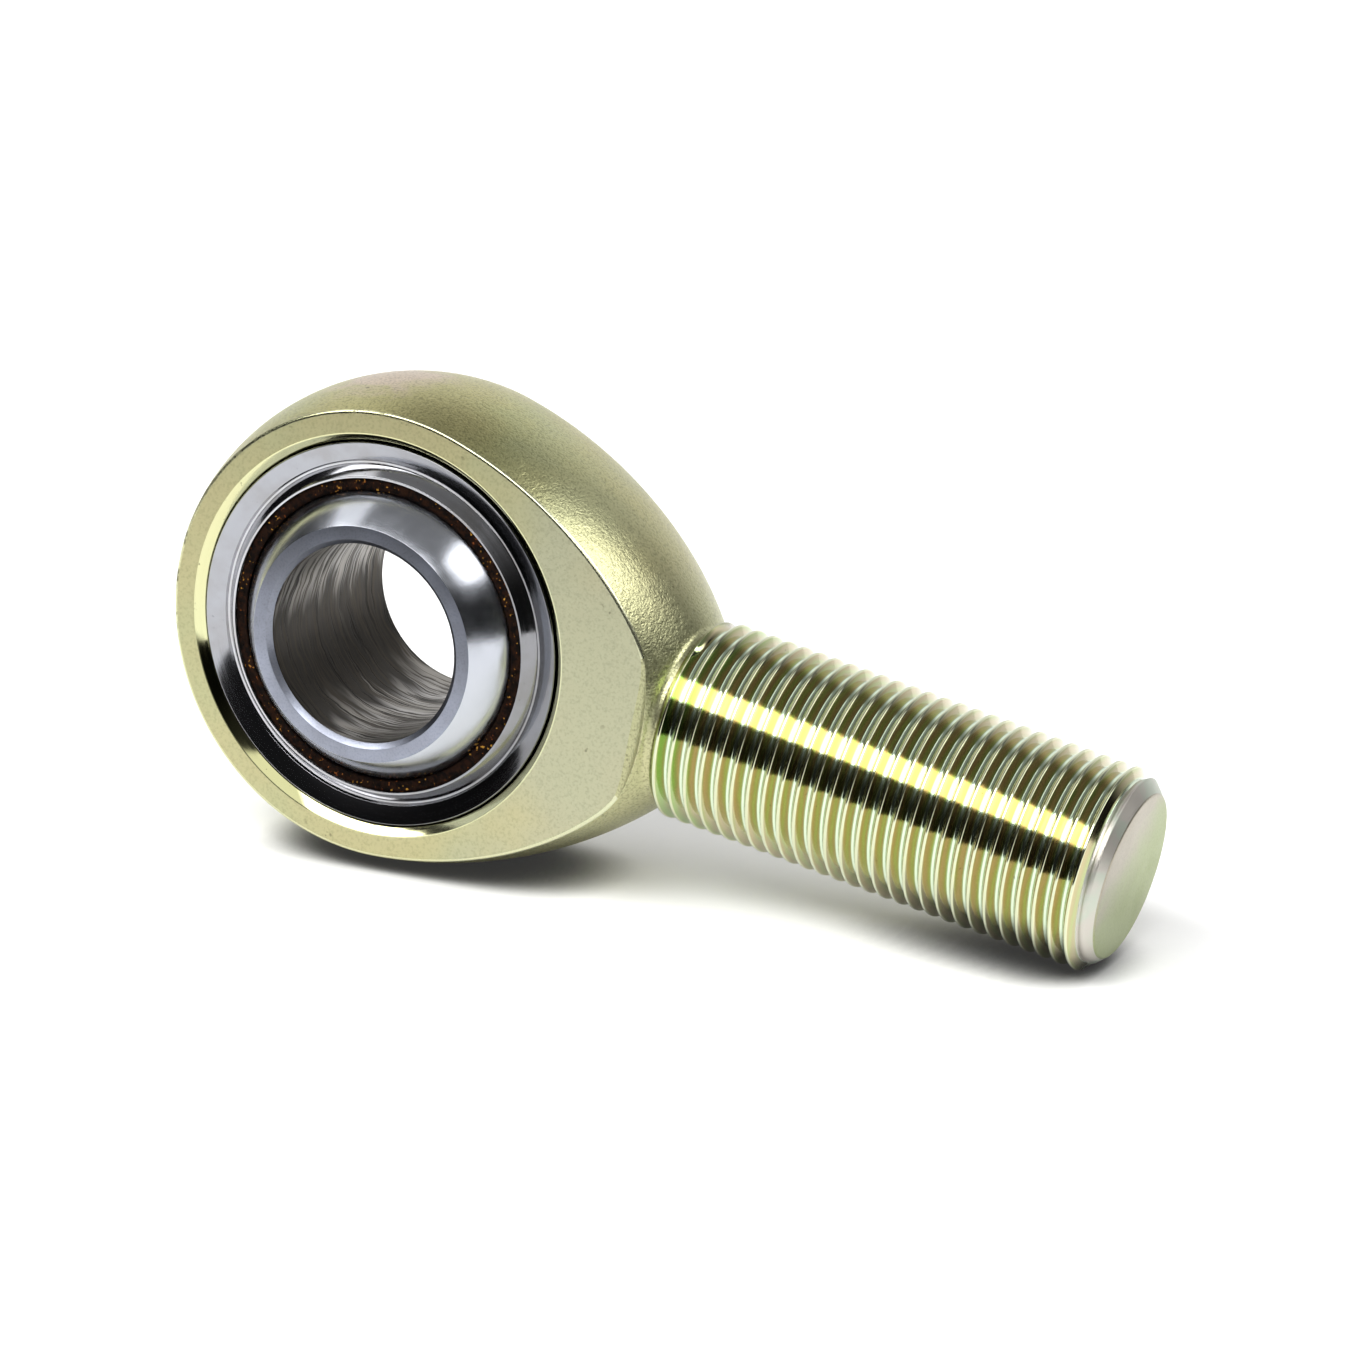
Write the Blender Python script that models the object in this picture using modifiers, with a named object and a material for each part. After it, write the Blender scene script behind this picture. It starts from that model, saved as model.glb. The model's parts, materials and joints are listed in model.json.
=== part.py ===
"""Male rod end bearing of the three-piece lined kind, with a 3/4 inch bore and shank.

A forged body holds a staked race, a thin liner lies in the race, and a ball with a plain
through bore swivels in the liner.

Frame, in metres: the origin is the ball's centre, +X runs along the shank towards its free
end, +Y runs along the bore, and +Z is up.
"""
import math

import bmesh
import bpy

INCH = 0.0254

# Driving dimensions: the ball.
BORE_RADIUS = 0.750 * INCH / 2
BALL_RADIUS = 1.250 * INCH / 2
BALL_HALF_WIDTH = 0.875 * INCH / 2
BORE_CHAMFER = 0.0005

# Driving dimensions: race and liner.
RACE_RADIUS = 1.4375 * INCH / 2 - 0.00012
RACE_LIP_RADIUS = RACE_RADIUS + 0.00028
RACE_HALF_WIDTH = 0.00807
RACE_RIM_HEIGHT = 0.00778
RACE_BORE_SPHERE = 0.01708
RACE_LAND_WIDTH = 0.00022
STAKE_GROOVE_RADIUS = 0.01637
STAKE_GROOVE_HEIGHT = 0.00688
LINER_HALF_WIDTH = 0.0079
LINER_CLEARANCE = 0.00015

# Driving dimensions: the head of the body.
HEAD_RADIUS = 0.0230
HEAD_HALF_THICKNESS = 0.650 * INCH / 2
FLAT_END = 0.02845
SHOULDER_ARC_RADIUS = 0.0430
SHOULDER_START = math.radians(80.3)
NECK_RADIUS = 0.0087
NECK_FILLET = 0.0008
SEAT_RADIUS = 1.4375 * INCH / 2
SEAT_CHAMFER_RADIUS = 0.0193
SEAT_CHAMFER_DEPTH = 0.00092

# Driving dimensions: the shank, 3/4-16 UNF, measured from the ball's centre.
SHANK_END = 2.9 * INCH
THREAD_RADIUS = 0.750 * INCH / 2
THREAD_PITCH = INCH / 16
THREAD_DEPTH = 0.61343 * THREAD_PITCH
THREAD_START = 0.0294
NECK_LENGTH = 0.0003
END_CHAMFER = 0.0018

# Fineness of the turned surfaces.
TURN_STEPS = 40
ARC_STEP = math.radians(7)
THREAD_STEPS_PER_TURN = 24
FLAT_STEPS = 48

COLLECTION = "rod_end_bearing"


def clear_scene():
    """Remove every object of the open scene."""
    for old in list(bpy.data.objects):
        bpy.data.objects.remove(old, do_unlink=True)


def new_collection(name):
    """Make a collection and link it to the scene."""
    collection = bpy.data.collections.new(name)
    bpy.context.scene.collection.children.link(collection)
    return collection


def metal(name, colour, roughness, metallic=1.0):
    """Make a plain Principled material."""
    material = bpy.data.materials.new(name)
    material.use_nodes = True
    shader = material.node_tree.nodes["Principled BSDF"]
    shader.inputs["Base Color"].default_value = (*colour, 1.0)
    shader.inputs["Roughness"].default_value = roughness
    shader.inputs["Metallic"].default_value = metallic
    return material


def arc(radius, start, end, centre=(0.0, 0.0)):
    """Points (across, along) of an arc, with angles measured from the across direction."""
    count = max(2, math.ceil(abs(end - start) / ARC_STEP))
    points = []
    for index in range(count + 1):
        angle = start + (end - start) * index / count
        across = centre[0] + radius * math.cos(angle)
        along = centre[1] + radius * math.sin(angle)
        points.append((across, along))
    return points


def turned(name, profile, closed, collection):
    """Turn a profile of (radius, height) points about the object's Z axis."""
    edges = [(i, i + 1) for i in range(len(profile) - 1)]
    if closed:
        edges.append((len(profile) - 1, 0))
    mesh = bpy.data.meshes.new(name)
    mesh.from_pydata([(radius, 0.0, height) for radius, height in profile], edges, [])
    turned_object = bpy.data.objects.new(name, mesh)
    collection.objects.link(turned_object)
    screw = turned_object.modifiers.new("turn", "SCREW")
    screw.axis = "Z"
    screw.angle = 2 * math.pi
    screw.steps = TURN_STEPS
    screw.render_steps = TURN_STEPS
    screw.use_merge_vertices = True
    screw.merge_threshold = 0.00001
    return turned_object


def lay_along_x(turned_object):
    """Turn the object so that its axis runs along world +X."""
    turned_object.rotation_euler = (0.0, math.pi / 2, 0.0)


def lay_along_y(turned_object):
    """Turn the object so that its axis runs along world +Y."""
    turned_object.rotation_euler = (-math.pi / 2, 0.0, 0.0)


def make_cutter(cutter):
    """Mark an object as a cutter, which isn't part of the model."""
    cutter.hide_render = True
    cutter.display_type = "WIRE"


def combine(target, operation, other):
    """Add a Boolean modifier: DIFFERENCE cuts the other away, UNION adds it, INTERSECT trims."""
    boolean = target.modifiers.new(other.name, "BOOLEAN")
    boolean.operation = operation
    boolean.solver = "EXACT"
    boolean.object = other


def finish(part, material):
    """Give the part its material, and shade its round surfaces smooth."""
    part.data.materials.append(material)
    part.data.shade_smooth()
    part.data.set_sharp_from_angle(angle=math.radians(30))


def body_profile():
    """Outer side of the turned head, from a core inside the shank to the back of the head.

    The head is a sphere that runs into a flatter shoulder arc, and the shoulder meets the
    neck with a small fillet.
    """
    core_radius = THREAD_RADIUS - THREAD_DEPTH - 0.0005
    core_end = THREAD_START + 3 * THREAD_PITCH
    lean = SHOULDER_ARC_RADIUS - HEAD_RADIUS
    shoulder_across = -lean * math.sin(SHOULDER_START)
    shoulder_along = -lean * math.cos(SHOULDER_START)
    fillet_across = NECK_RADIUS + NECK_FILLET
    rise = fillet_across - shoulder_across
    run = math.sqrt((SHOULDER_ARC_RADIUS + NECK_FILLET) ** 2 - rise ** 2)
    fillet_along = shoulder_along + run
    shoulder_end = math.atan2(run, rise)

    core = [
        (0.0, core_end),
        (core_radius, core_end),
        (core_radius, THREAD_START + NECK_LENGTH),
        (NECK_RADIUS, THREAD_START + NECK_LENGTH),
    ]
    fillet = arc(NECK_FILLET, math.pi, math.pi + shoulder_end, (fillet_across, fillet_along))
    shoulder = arc(
        SHOULDER_ARC_RADIUS,
        shoulder_end,
        math.pi / 2 - SHOULDER_START,
        (shoulder_across, shoulder_along),
    )
    crown = arc(HEAD_RADIUS, math.pi / 2 - SHOULDER_START, -math.pi / 2)
    crown[-1] = (0.0, -HEAD_RADIUS)
    return core + fillet + shoulder[1:] + crown[1:]


def seat_cutter(collection):
    """The race's seat through the head, widened at both faces for the staked lips."""
    slope = (SEAT_CHAMFER_RADIUS - SEAT_RADIUS) / SEAT_CHAMFER_DEPTH
    reach = HEAD_HALF_THICKNESS + 0.002
    inner = HEAD_HALF_THICKNESS - SEAT_CHAMFER_DEPTH
    mouth = SEAT_RADIUS + slope * (reach - inner)
    profile = [
        (0.0, reach),
        (mouth, reach),
        (SEAT_RADIUS, inner),
        (SEAT_RADIUS, -inner),
        (mouth, -reach),
        (0.0, -reach),
    ]
    cutter = turned("seat_cutter", profile, False, collection)
    lay_along_y(cutter)
    make_cutter(cutter)
    return cutter


def flat_cutter(side, collection):
    """An oval block that planes one face of the head, and ends in a round step at the neck."""
    bpy.ops.mesh.primitive_cylinder_add(
        vertices=FLAT_STEPS, radius=1.0, depth=1.0, rotation=(math.pi / 2, 0.0, 0.0)
    )
    cutter = bpy.context.object
    for owner in list(cutter.users_collection):
        owner.objects.unlink(cutter)
    collection.objects.link(cutter)
    margin = 0.001
    back = -HEAD_RADIUS - margin
    depth = HEAD_RADIUS
    cutter.name = "flat_cutter_front" if side < 0 else "flat_cutter_back"
    cutter.scale = ((FLAT_END - back) / 2, HEAD_RADIUS + margin, depth)
    cutter.location = ((FLAT_END + back) / 2, side * (HEAD_HALF_THICKNESS + depth / 2), 0.0)
    make_cutter(cutter)
    return cutter


def thread_profile():
    """Corners (offset along the shank, radius) of one turn of the thread: a root and a crest."""
    flank = math.tan(math.radians(30))
    crest_half = THREAD_PITCH / 16
    root_half = 7 * THREAD_PITCH / 16 - flank * THREAD_DEPTH
    root_radius = THREAD_RADIUS - THREAD_DEPTH
    return [
        (-root_half, root_radius),
        (root_half, root_radius),
        (THREAD_PITCH / 2 - crest_half, THREAD_RADIUS),
        (THREAD_PITCH / 2 + crest_half, THREAD_RADIUS),
    ]


def threaded_rod(collection):
    """A closed rod with a right-hand thread, a turn longer at each end than the shank needs."""
    profile = thread_profile()
    first = THREAD_START - 1.5 * THREAD_PITCH
    turns = math.ceil((SHANK_END - first) / THREAD_PITCH) + 1
    sections = turns * THREAD_STEPS_PER_TURN

    work = bmesh.new()
    rows = []
    for index in range(sections + 1):
        angle = 2 * math.pi * index / THREAD_STEPS_PER_TURN
        along = first + THREAD_PITCH * index / THREAD_STEPS_PER_TURN
        row = []
        for offset, radius in profile:
            across = (radius * math.cos(angle), radius * math.sin(angle))
            row.append(work.verts.new((along + offset, *across)))
        rows.append(row)
    for row, following in zip(rows, rows[1:]):
        for corner in range(len(profile) - 1):
            work.faces.new((row[corner], row[corner + 1], following[corner + 1], following[corner]))
    for row, following, above, above_following in zip(
        rows,
        rows[1:],
        rows[THREAD_STEPS_PER_TURN:],
        rows[THREAD_STEPS_PER_TURN + 1:],
    ):
        work.faces.new((row[-1], above[0], above_following[0], following[-1]))

    first_loop = [row[0] for row in rows[:THREAD_STEPS_PER_TURN + 1]] + rows[0][:0:-1]
    last_loop = [row[-1] for row in rows[-THREAD_STEPS_PER_TURN - 1:]] + rows[-1][:-1][::-1]
    last = first + THREAD_PITCH * turns
    for loop, along in ((first_loop, first), (last_loop, last)):
        middle = work.verts.new((along, 0.0, 0.0))
        for corner, vertex in enumerate(loop):
            work.faces.new((middle, vertex, loop[(corner + 1) % len(loop)]))
    bmesh.ops.recalc_face_normals(work, faces=work.faces)
    mesh = bpy.data.meshes.new("threaded_rod")
    work.to_mesh(mesh)
    work.free()
    rod = bpy.data.objects.new("threaded_rod", mesh)
    collection.objects.link(rod)
    make_cutter(rod)
    return rod


def shank_stock(collection):
    """The turned stock that the threaded rod is trimmed to, chamfered at both ends."""
    clear_radius = THREAD_RADIUS + 0.001
    sunk_radius = NECK_RADIUS - 0.0002
    start_rise = clear_radius - sunk_radius
    end_radius = THREAD_RADIUS - END_CHAMFER
    profile = [
        (0.0, SHANK_END),
        (end_radius, SHANK_END),
        (clear_radius, SHANK_END - (clear_radius - end_radius)),
        (clear_radius, THREAD_START + start_rise),
        (sunk_radius, THREAD_START),
        (0.0, THREAD_START),
    ]
    stock = turned("shank_stock", profile, False, collection)
    lay_along_x(stock)
    make_cutter(stock)
    return stock


def build_body(collection, cutters):
    """The one-piece body: a turned head, planed flat, bored for the race, with its shank."""
    body = turned("rod_end_body", body_profile(), False, collection)
    lay_along_x(body)
    for side in (-1, 1):
        combine(body, "DIFFERENCE", flat_cutter(side, cutters))
    combine(body, "DIFFERENCE", seat_cutter(cutters))
    shank = threaded_rod(cutters)
    combine(shank, "INTERSECT", shank_stock(cutters))
    combine(body, "UNION", shank)
    finish(body, metal("zinc_chromate", (0.56, 0.54, 0.33), 0.32))


def build_race(collection):
    """The steel race: spherical inside, with a lip staked outwards at each face."""
    lip_base = RACE_RIM_HEIGHT - 0.00035
    half_angle = math.asin(RACE_HALF_WIDTH / RACE_BORE_SPHERE)
    land_inner = RACE_BORE_SPHERE * math.cos(half_angle)
    upper = [
        (land_inner + RACE_LAND_WIDTH, RACE_HALF_WIDTH),
        (STAKE_GROOVE_RADIUS, STAKE_GROOVE_HEIGHT),
        (RACE_LIP_RADIUS - 0.0002, RACE_RIM_HEIGHT),
        (RACE_LIP_RADIUS, RACE_RIM_HEIGHT - 0.0001),
        (RACE_RADIUS, lip_base),
    ]
    lower = [(radius, -height) for radius, height in reversed(upper)]
    bore = arc(RACE_BORE_SPHERE, -half_angle, half_angle)
    race = turned("outer_race", upper + lower + bore, True, collection)
    lay_along_y(race)
    finish(race, metal("race_steel", (0.62, 0.61, 0.60), 0.22))


def build_liner(collection):
    """The liner: a band of a thin spherical shell between race and ball."""
    outer_sphere = RACE_BORE_SPHERE - LINER_CLEARANCE
    inner_sphere = BALL_RADIUS + LINER_CLEARANCE
    outer_angle = math.asin(LINER_HALF_WIDTH / outer_sphere)
    inner_angle = math.asin(LINER_HALF_WIDTH / inner_sphere)
    profile = arc(outer_sphere, outer_angle, -outer_angle)
    profile += arc(inner_sphere, -inner_angle, inner_angle)
    liner = turned("ptfe_liner", profile, True, collection)
    lay_along_y(liner)
    finish(liner, metal("liner_fabric", (0.045, 0.028, 0.018), 0.75, 0.0))


def build_ball(collection):
    """The ball: a truncated sphere with a chamfered through bore."""
    half_angle = math.asin(BALL_HALF_WIDTH / BALL_RADIUS)
    bore = [
        (BORE_RADIUS + BORE_CHAMFER, -BALL_HALF_WIDTH),
        (BORE_RADIUS, -BALL_HALF_WIDTH + BORE_CHAMFER),
        (BORE_RADIUS, BALL_HALF_WIDTH - BORE_CHAMFER),
        (BORE_RADIUS + BORE_CHAMFER, BALL_HALF_WIDTH),
    ]
    profile = arc(BALL_RADIUS, half_angle, -half_angle) + bore
    ball = turned("ball", profile, True, collection)
    lay_along_y(ball)
    finish(ball, metal("ball_chrome", (0.66, 0.67, 0.70), 0.12))


def main():
    """Build the whole rod end."""
    clear_scene()
    collection = new_collection(COLLECTION)
    cutters = new_collection("cutters")
    build_body(collection, cutters)
    build_race(collection)
    build_liner(collection)
    build_ball(collection)


main()
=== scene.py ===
import json
import math

import bmesh
import bpy
import numpy as np
from mathutils import Matrix, Vector


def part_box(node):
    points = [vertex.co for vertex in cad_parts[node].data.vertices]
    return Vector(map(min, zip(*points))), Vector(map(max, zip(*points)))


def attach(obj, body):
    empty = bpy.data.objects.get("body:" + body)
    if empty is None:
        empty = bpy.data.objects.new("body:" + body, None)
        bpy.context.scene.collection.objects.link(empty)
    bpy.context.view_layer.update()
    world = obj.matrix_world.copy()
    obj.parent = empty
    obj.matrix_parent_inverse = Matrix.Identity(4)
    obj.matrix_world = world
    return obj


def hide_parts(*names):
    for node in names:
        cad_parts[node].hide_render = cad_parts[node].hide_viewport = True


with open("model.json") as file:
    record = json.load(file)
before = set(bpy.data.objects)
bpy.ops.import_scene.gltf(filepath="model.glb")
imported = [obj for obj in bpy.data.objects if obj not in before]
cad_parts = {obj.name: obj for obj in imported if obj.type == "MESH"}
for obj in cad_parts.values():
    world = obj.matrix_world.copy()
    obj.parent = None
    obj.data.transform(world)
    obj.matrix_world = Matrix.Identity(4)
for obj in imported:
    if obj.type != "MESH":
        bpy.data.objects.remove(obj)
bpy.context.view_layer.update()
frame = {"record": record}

MM = 0.001
INCH = 0.0254
TURN = 2 * math.pi

# ---------------------------------------------------------------- sizes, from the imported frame
mounts = {m["name"]: m for m in frame["record"]["mounts"]}
body_low, body_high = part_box("rod_end_body")
race_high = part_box("outer_race")[1]
liner_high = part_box("ptfe_liner")[1]
ball_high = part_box("ball")[1]

HEAD_RADIUS = -body_low.x
HEAD_HALF = abs(mounts["head_flat_front"]["pos_m"][1])
SHOULDER_RADIUS = 43.0 * MM
SHOULDER_START = math.radians(80.3)
NECK_RADIUS = 8.7 * MM
NECK_FILLET = 0.8 * MM
SHANK_END = body_high.x
THREAD_RADIUS = body_high.y
PITCH = INCH / 16
ROOT_RADIUS = THREAD_RADIUS - 0.61343 * PITCH
THREAD_START = 29.4 * MM
END_CHAMFER = 1.8 * MM
RUN_IN = 2.0 * MM
DISH_DEPTH = 0.07 * MM
FLAT_END = 28.45 * MM
FLAT_CLOSING = 2.8 * MM

SEAT_RADIUS = 1.4375 * INCH / 2
SEAT_CHAMFER_RADIUS = 19.3 * MM
SEAT_CHAMFER_DEPTH = 0.92 * MM

RACE_RADIUS = SEAT_RADIUS - 0.12 * MM
RACE_LIP_RADIUS = race_high.z
RACE_HALF = race_high.y
RACE_RIM = 7.78 * MM
RACE_GROOVE_HEIGHT = 6.88 * MM
RACE_GROOVE_RADIUS = 16.27 * MM
RACE_LIP_INNER = 16.62 * MM
RACE_BORE_SPHERE = 17.08 * MM
LINER_OUTER = 16.93 * MM
LINER_INNER = 16.025 * MM
LINER_HALF = liner_high.y
BALL_RADIUS = ball_high.z
BALL_HALF = ball_high.y
BORE_RADIUS = 0.375 * INCH

FLOOR_TILT = math.radians(11.0)


# ---------------------------------------------------------------- mesh helpers
def softened(points, radii, steps=4, closed=True):
    """A profile with its corners rounded: one radius for each corner."""
    made = []
    count = len(points)
    for i in range(count):
        here = Vector(points[i])
        if radii[i] <= 0 or (not closed and i in (0, count - 1)):
            made.append(tuple(here))
            continue
        back = Vector(points[i - 1]) - here
        ahead = Vector(points[(i + 1) % count]) - here
        half = back.angle(ahead) / 2
        cut = min(radii[i] / math.tan(half), 0.45 * back.length, 0.45 * ahead.length)
        first = here + back.normalized() * cut
        last = here + ahead.normalized() * cut
        for t in np.linspace(0, 1, steps + 1):
            p = first * (1 - t) ** 2 + here * 2 * t * (1 - t) + last * t ** 2
            made.append((p.x, p.y))
    return made


def mesh_object(name, verts, faces, materials, marks=None):
    """A smooth-shaded mesh object, with a material for each face."""
    mesh = bpy.data.meshes.new(name)
    mesh.from_pydata([tuple(v) for v in verts], [], faces)
    for m in materials:
        mesh.materials.append(m)
    if marks is not None:
        mesh.polygons.foreach_set("material_index", np.asarray(marks, np.int32))
    mesh.polygons.foreach_set("use_smooth", np.ones(len(mesh.polygons), bool))
    mesh.validate()
    made = bpy.data.objects.new(name, mesh)
    bpy.context.scene.collection.objects.link(made)
    return made


def welded(made, distance=1e-7):
    """Doubles merged, holes closed and faces turned outwards."""
    work = bmesh.new()
    work.from_mesh(made.data)
    bmesh.ops.remove_doubles(work, verts=work.verts, dist=distance)
    bmesh.ops.dissolve_degenerate(work, edges=work.edges, dist=1e-8)
    bmesh.ops.holes_fill(work, edges=[e for e in work.edges if e.is_boundary], sides=0)
    bmesh.ops.recalc_face_normals(work, faces=work.faces)
    work.to_mesh(made.data)
    work.free()
    return made


def lathe(name, profile, steps, materials, marks=None):
    """A ring turned about +Y from a closed profile of (radius, along) points."""
    count = len(profile)
    angles = np.arange(steps) * TURN / steps
    radii = np.array([p[0] for p in profile])
    along = np.array([p[1] for p in profile])
    verts = np.stack([
        np.outer(np.cos(angles), radii),
        np.tile(along, (steps, 1)),
        np.outer(np.sin(angles), radii),
    ], axis=-1).reshape(-1, 3)
    faces, face_marks = [], []
    for s in range(steps):
        t = (s + 1) % steps
        for i in range(count):
            j = (i + 1) % count
            faces.append((s * count + i, t * count + i, t * count + j, s * count + j))
            face_marks.append(marks[i] if marks else 0)
    return welded(mesh_object(name, verts, faces, materials, face_marks))


def mirrored(half):
    """A closed profile from one half of it: the points and their mirror in along = 0."""
    return half + [(r, -y) for r, y in reversed(half)]


# ---------------------------------------------------------------- node helpers
def node(tree, kind, links=None, **settings):
    """A shader node. links gives each input a value or a socket."""
    made = tree.nodes.new("ShaderNode" + kind)
    for key, value in settings.items():
        setattr(made, key, value)
    for key, value in (links or {}).items():
        if isinstance(value, bpy.types.NodeSocket):
            tree.links.new(value, made.inputs[key])
        else:
            made.inputs[key].default_value = value
    return made


def maths(tree, operation, a, b=0.0):
    return node(tree, "Math", {0: a, 1: b}, operation=operation).outputs[0]


def mixed(tree, share, a, b, blend="MIX"):
    """Colour a turned into colour b by share."""
    made = node(tree, "Mix", {0: share, 6: a, 7: b}, data_type="RGBA", blend_type=blend)
    return made.outputs[2]


def ramp(tree, value, low, high, to_low=0.0, to_high=1.0):
    """value from low..high mapped smoothly to to_low..to_high."""
    return node(tree, "MapRange", {0: value, 1: low, 2: high, 3: to_low, 4: to_high},
                interpolation_type="SMOOTHSTEP").outputs[0]


def mixed_value(tree, share, a, b):
    """Number a turned into number b by share."""
    return node(tree, "Mix", {0: share, 2: a, 3: b}).outputs[0]


def noise(tree, place, scale, detail=2.0, roughness=0.5, distortion=0.0):
    return node(tree, "TexNoise", {"Vector": place, "Scale": scale, "Detail": detail,
                                   "Roughness": roughness, "Distortion": distortion}).outputs[0]


def stretched(tree, place, scale):
    """Coordinates multiplied by a scale for each axis."""
    return node(tree, "VectorMath", {0: place, 1: scale}, operation="MULTIPLY").outputs[0]


def grey(tree, value):
    """The grey of a value."""
    return node(tree, "CombineColor", {0: value, 1: value, 2: value}).outputs[0]


def dimmed(tree, tint, share):
    """A colour multiplied by a share."""
    return mixed(tree, 1.0, tint, grey(tree, share), "MULTIPLY")


def dot(tree, place, axis):
    """How far a place lies along an axis."""
    return node(tree, "VectorMath", {0: place, 1: axis}, operation="DOT_PRODUCT").outputs["Value"]


def drifted(tree, value, field, amount):
    """value moved up and down by a noise field, which has its middle at 0.5."""
    swing = maths(tree, "MULTIPLY", maths(tree, "SUBTRACT", field, 0.5), amount)
    return maths(tree, "ADD", value, swing)


def coordinate(tree, place, index):
    """One coordinate of a place: 0 along the shank, 1 along the bore, 2 up."""
    return node(tree, "SeparateXYZ", {0: place}).outputs[index]


def bump(tree, height, distance, normal=None):
    """A normal from a height field, on top of another normal where one is given."""
    links = {"Height": height, "Distance": distance, "Strength": 1.0}
    if normal is not None:
        links["Normal"] = normal
    return node(tree, "Bump", links).outputs[0]


def rgb(r, g, b):
    return (r, g, b, 1.0)


def start_material(name):
    """A material with its tree cleared, and the coordinates in metres in the part's frame."""
    made = bpy.data.materials.new(name)
    made.use_nodes = True
    tree = made.node_tree
    tree.nodes.clear()
    place = node(tree, "TexCoord").outputs["Object"]
    return made, tree, place


def end_material(tree, colour, roughness, normal, metallic=1.0, **sockets):
    """The shader and the output. sockets are further inputs of the shader, with _ for a blank."""
    links = {"Base Color": colour, "Roughness": roughness, "Metallic": metallic, "Normal": normal}
    links.update((key.replace("_", " "), value) for key, value in sockets.items())
    shader = node(tree, "BsdfPrincipled", links)
    node(tree, "OutputMaterial", {"Surface": shader.outputs[0]})


# ---------------------------------------------------------------- materials
KHAKI = rgb(0.560, 0.535, 0.300)
OLIVE = rgb(0.500, 0.535, 0.310)
PINK = rgb(0.680, 0.575, 0.520)
GREEN = rgb(0.350, 0.510, 0.130)
SALMON = rgb(0.550, 0.430, 0.215)
CREAM = rgb(0.690, 0.700, 0.460)
MINT = rgb(0.610, 0.720, 0.540)
DIRT = rgb(0.060, 0.055, 0.030)
PALE_KHAKI = rgb(0.505, 0.505, 0.375)
FRESH_CUT = rgb(0.72, 0.72, 0.42)
# painted shade for the seat's chamfer, low on the left
PAINTED_SEAT_SHADE = rgb(0.03, 0.03, 0.01)
DEEP_OLIVE = rgb(0.42, 0.43, 0.14)
OCHRE = rgb(0.50, 0.42, 0.17)
LIME = rgb(0.46, 0.52, 0.16)
THIN_FILM = rgb(0.56, 0.56, 0.52)
CREST = rgb(0.50, 0.56, 0.42)
FAR_FLANK = rgb(0.36, 0.42, 0.30)

# where shade is painted low on the left: the direction from the bore's axis to the painted shade's middle
SEAT_PAINTED_SHADE_WAY = (-0.656, 0.0, -0.755)
BORE_PAINTED_SHADE_WAY = (-0.79, 0.0, -0.61)
# where the pink bloom on the head has its middle
BLOOM_MIDDLE = (-0.0065, 0.0, 0.0225)


def chromate_tint(tree, place):
    """Yellow zinc chromate: khaki drifting to olive, with a pink bloom on the top of the head."""
    drift = noise(tree, place, 55.0, 3.0, 0.55)
    tint = mixed(tree, ramp(tree, drift, 0.38, 0.66), KHAKI, OLIVE)
    pale = drifted(tree, coordinate(tree, place, 0), drift, 0.05)
    tint = mixed(tree, ramp(tree, pale, 0.004, 0.024, 0.0, 0.65), tint, PALE_KHAKI)
    reach = node(tree, "VectorMath", {0: place, 1: BLOOM_MIDDLE}, operation="DISTANCE").outputs["Value"]
    cloud = noise(tree, place, 260.0, 4.0, 0.6, 0.6)
    reach = maths(tree, "ADD", reach, maths(tree, "MULTIPLY", cloud, 0.0085))
    return mixed(tree, ramp(tree, reach, 0.0068, 0.0112, 1.0, 0.0), tint, PINK)


COARSE_SHARE = 0.9


def chromate_satin(name, grain, roughness, speckle, cast):
    """Satin plated steel, with a fine grain, darker pores and small stains. cast is laid over the tint."""
    made, tree, place = start_material(name)
    tint = mixed(tree, 1.0, chromate_tint(tree, place), cast, "MULTIPLY")
    fine = noise(tree, place, 4300.0, 2.0, 0.6)
    coarse = noise(tree, place, 1500.0, 3.0, 0.6)
    pores = ramp(tree, fine, 0.30, 0.56, speckle, 1.0)
    tint = dimmed(tree, tint, pores)
    stain = maths(tree, "MULTIPLY", ramp(tree, noise(tree, place, 900.0, 2.0), 0.70, 0.76),
                  ramp(tree, noise(tree, place, 160.0, 2.0), 0.50, 0.62))
    tint = mixed(tree, maths(tree, "MULTIPLY", stain, 0.55), tint, DIRT)
    rough = drifted(tree, roughness, coarse, 0.16)
    normal = bump(tree, coarse, grain * COARSE_SHARE)
    normal = bump(tree, fine, grain, normal=normal)
    end_material(tree, tint, rough, normal)
    return made


def chromate_edge(name):
    """The worn edge of the flats: bright where the plating is thin, with dark chips."""
    made, tree, place = start_material(name)
    tint = chromate_tint(tree, place)
    tint = mixed(tree, 0.45, tint, CREAM)
    apart = node(tree, "SeparateXYZ", {0: place})
    corner_side = maths(tree, "SUBTRACT", apart.outputs[2], maths(tree, "MULTIPLY", apart.outputs[0], 1.1))
    chips = maths(tree, "MULTIPLY", ramp(tree, noise(tree, place, 2400.0, 3.0, 0.7), 0.42, 0.56),
                  ramp(tree, noise(tree, place, 240.0, 2.0), 0.46, 0.60))
    chips = maths(tree, "MULTIPLY", chips, ramp(tree, corner_side, 0.012, 0.024))
    tint = mixed(tree, maths(tree, "MULTIPLY", chips, 0.75), tint, DIRT)
    normal = bump(tree, noise(tree, place, 3000.0, 2.0), 0.012 * MM)
    end_material(tree, tint, ramp(tree, chips, 0, 1, 0.24, 0.6), normal)
    return made


def turned(tree, place, scale):
    """Fine turning marks: noise along the radius and the axis only, so that it runs round the part."""
    apart = node(tree, "SeparateXYZ", {0: place})
    flat = node(tree, "CombineXYZ", {0: apart.outputs[0], 2: apart.outputs[2]}).outputs[0]
    radius = node(tree, "VectorMath", {0: flat}, operation="LENGTH").outputs["Value"]
    line = node(tree, "CombineXYZ", {0: radius, 1: apart.outputs[1]}).outputs[0]
    return noise(tree, line, scale, 2.0, 0.6)


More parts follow.
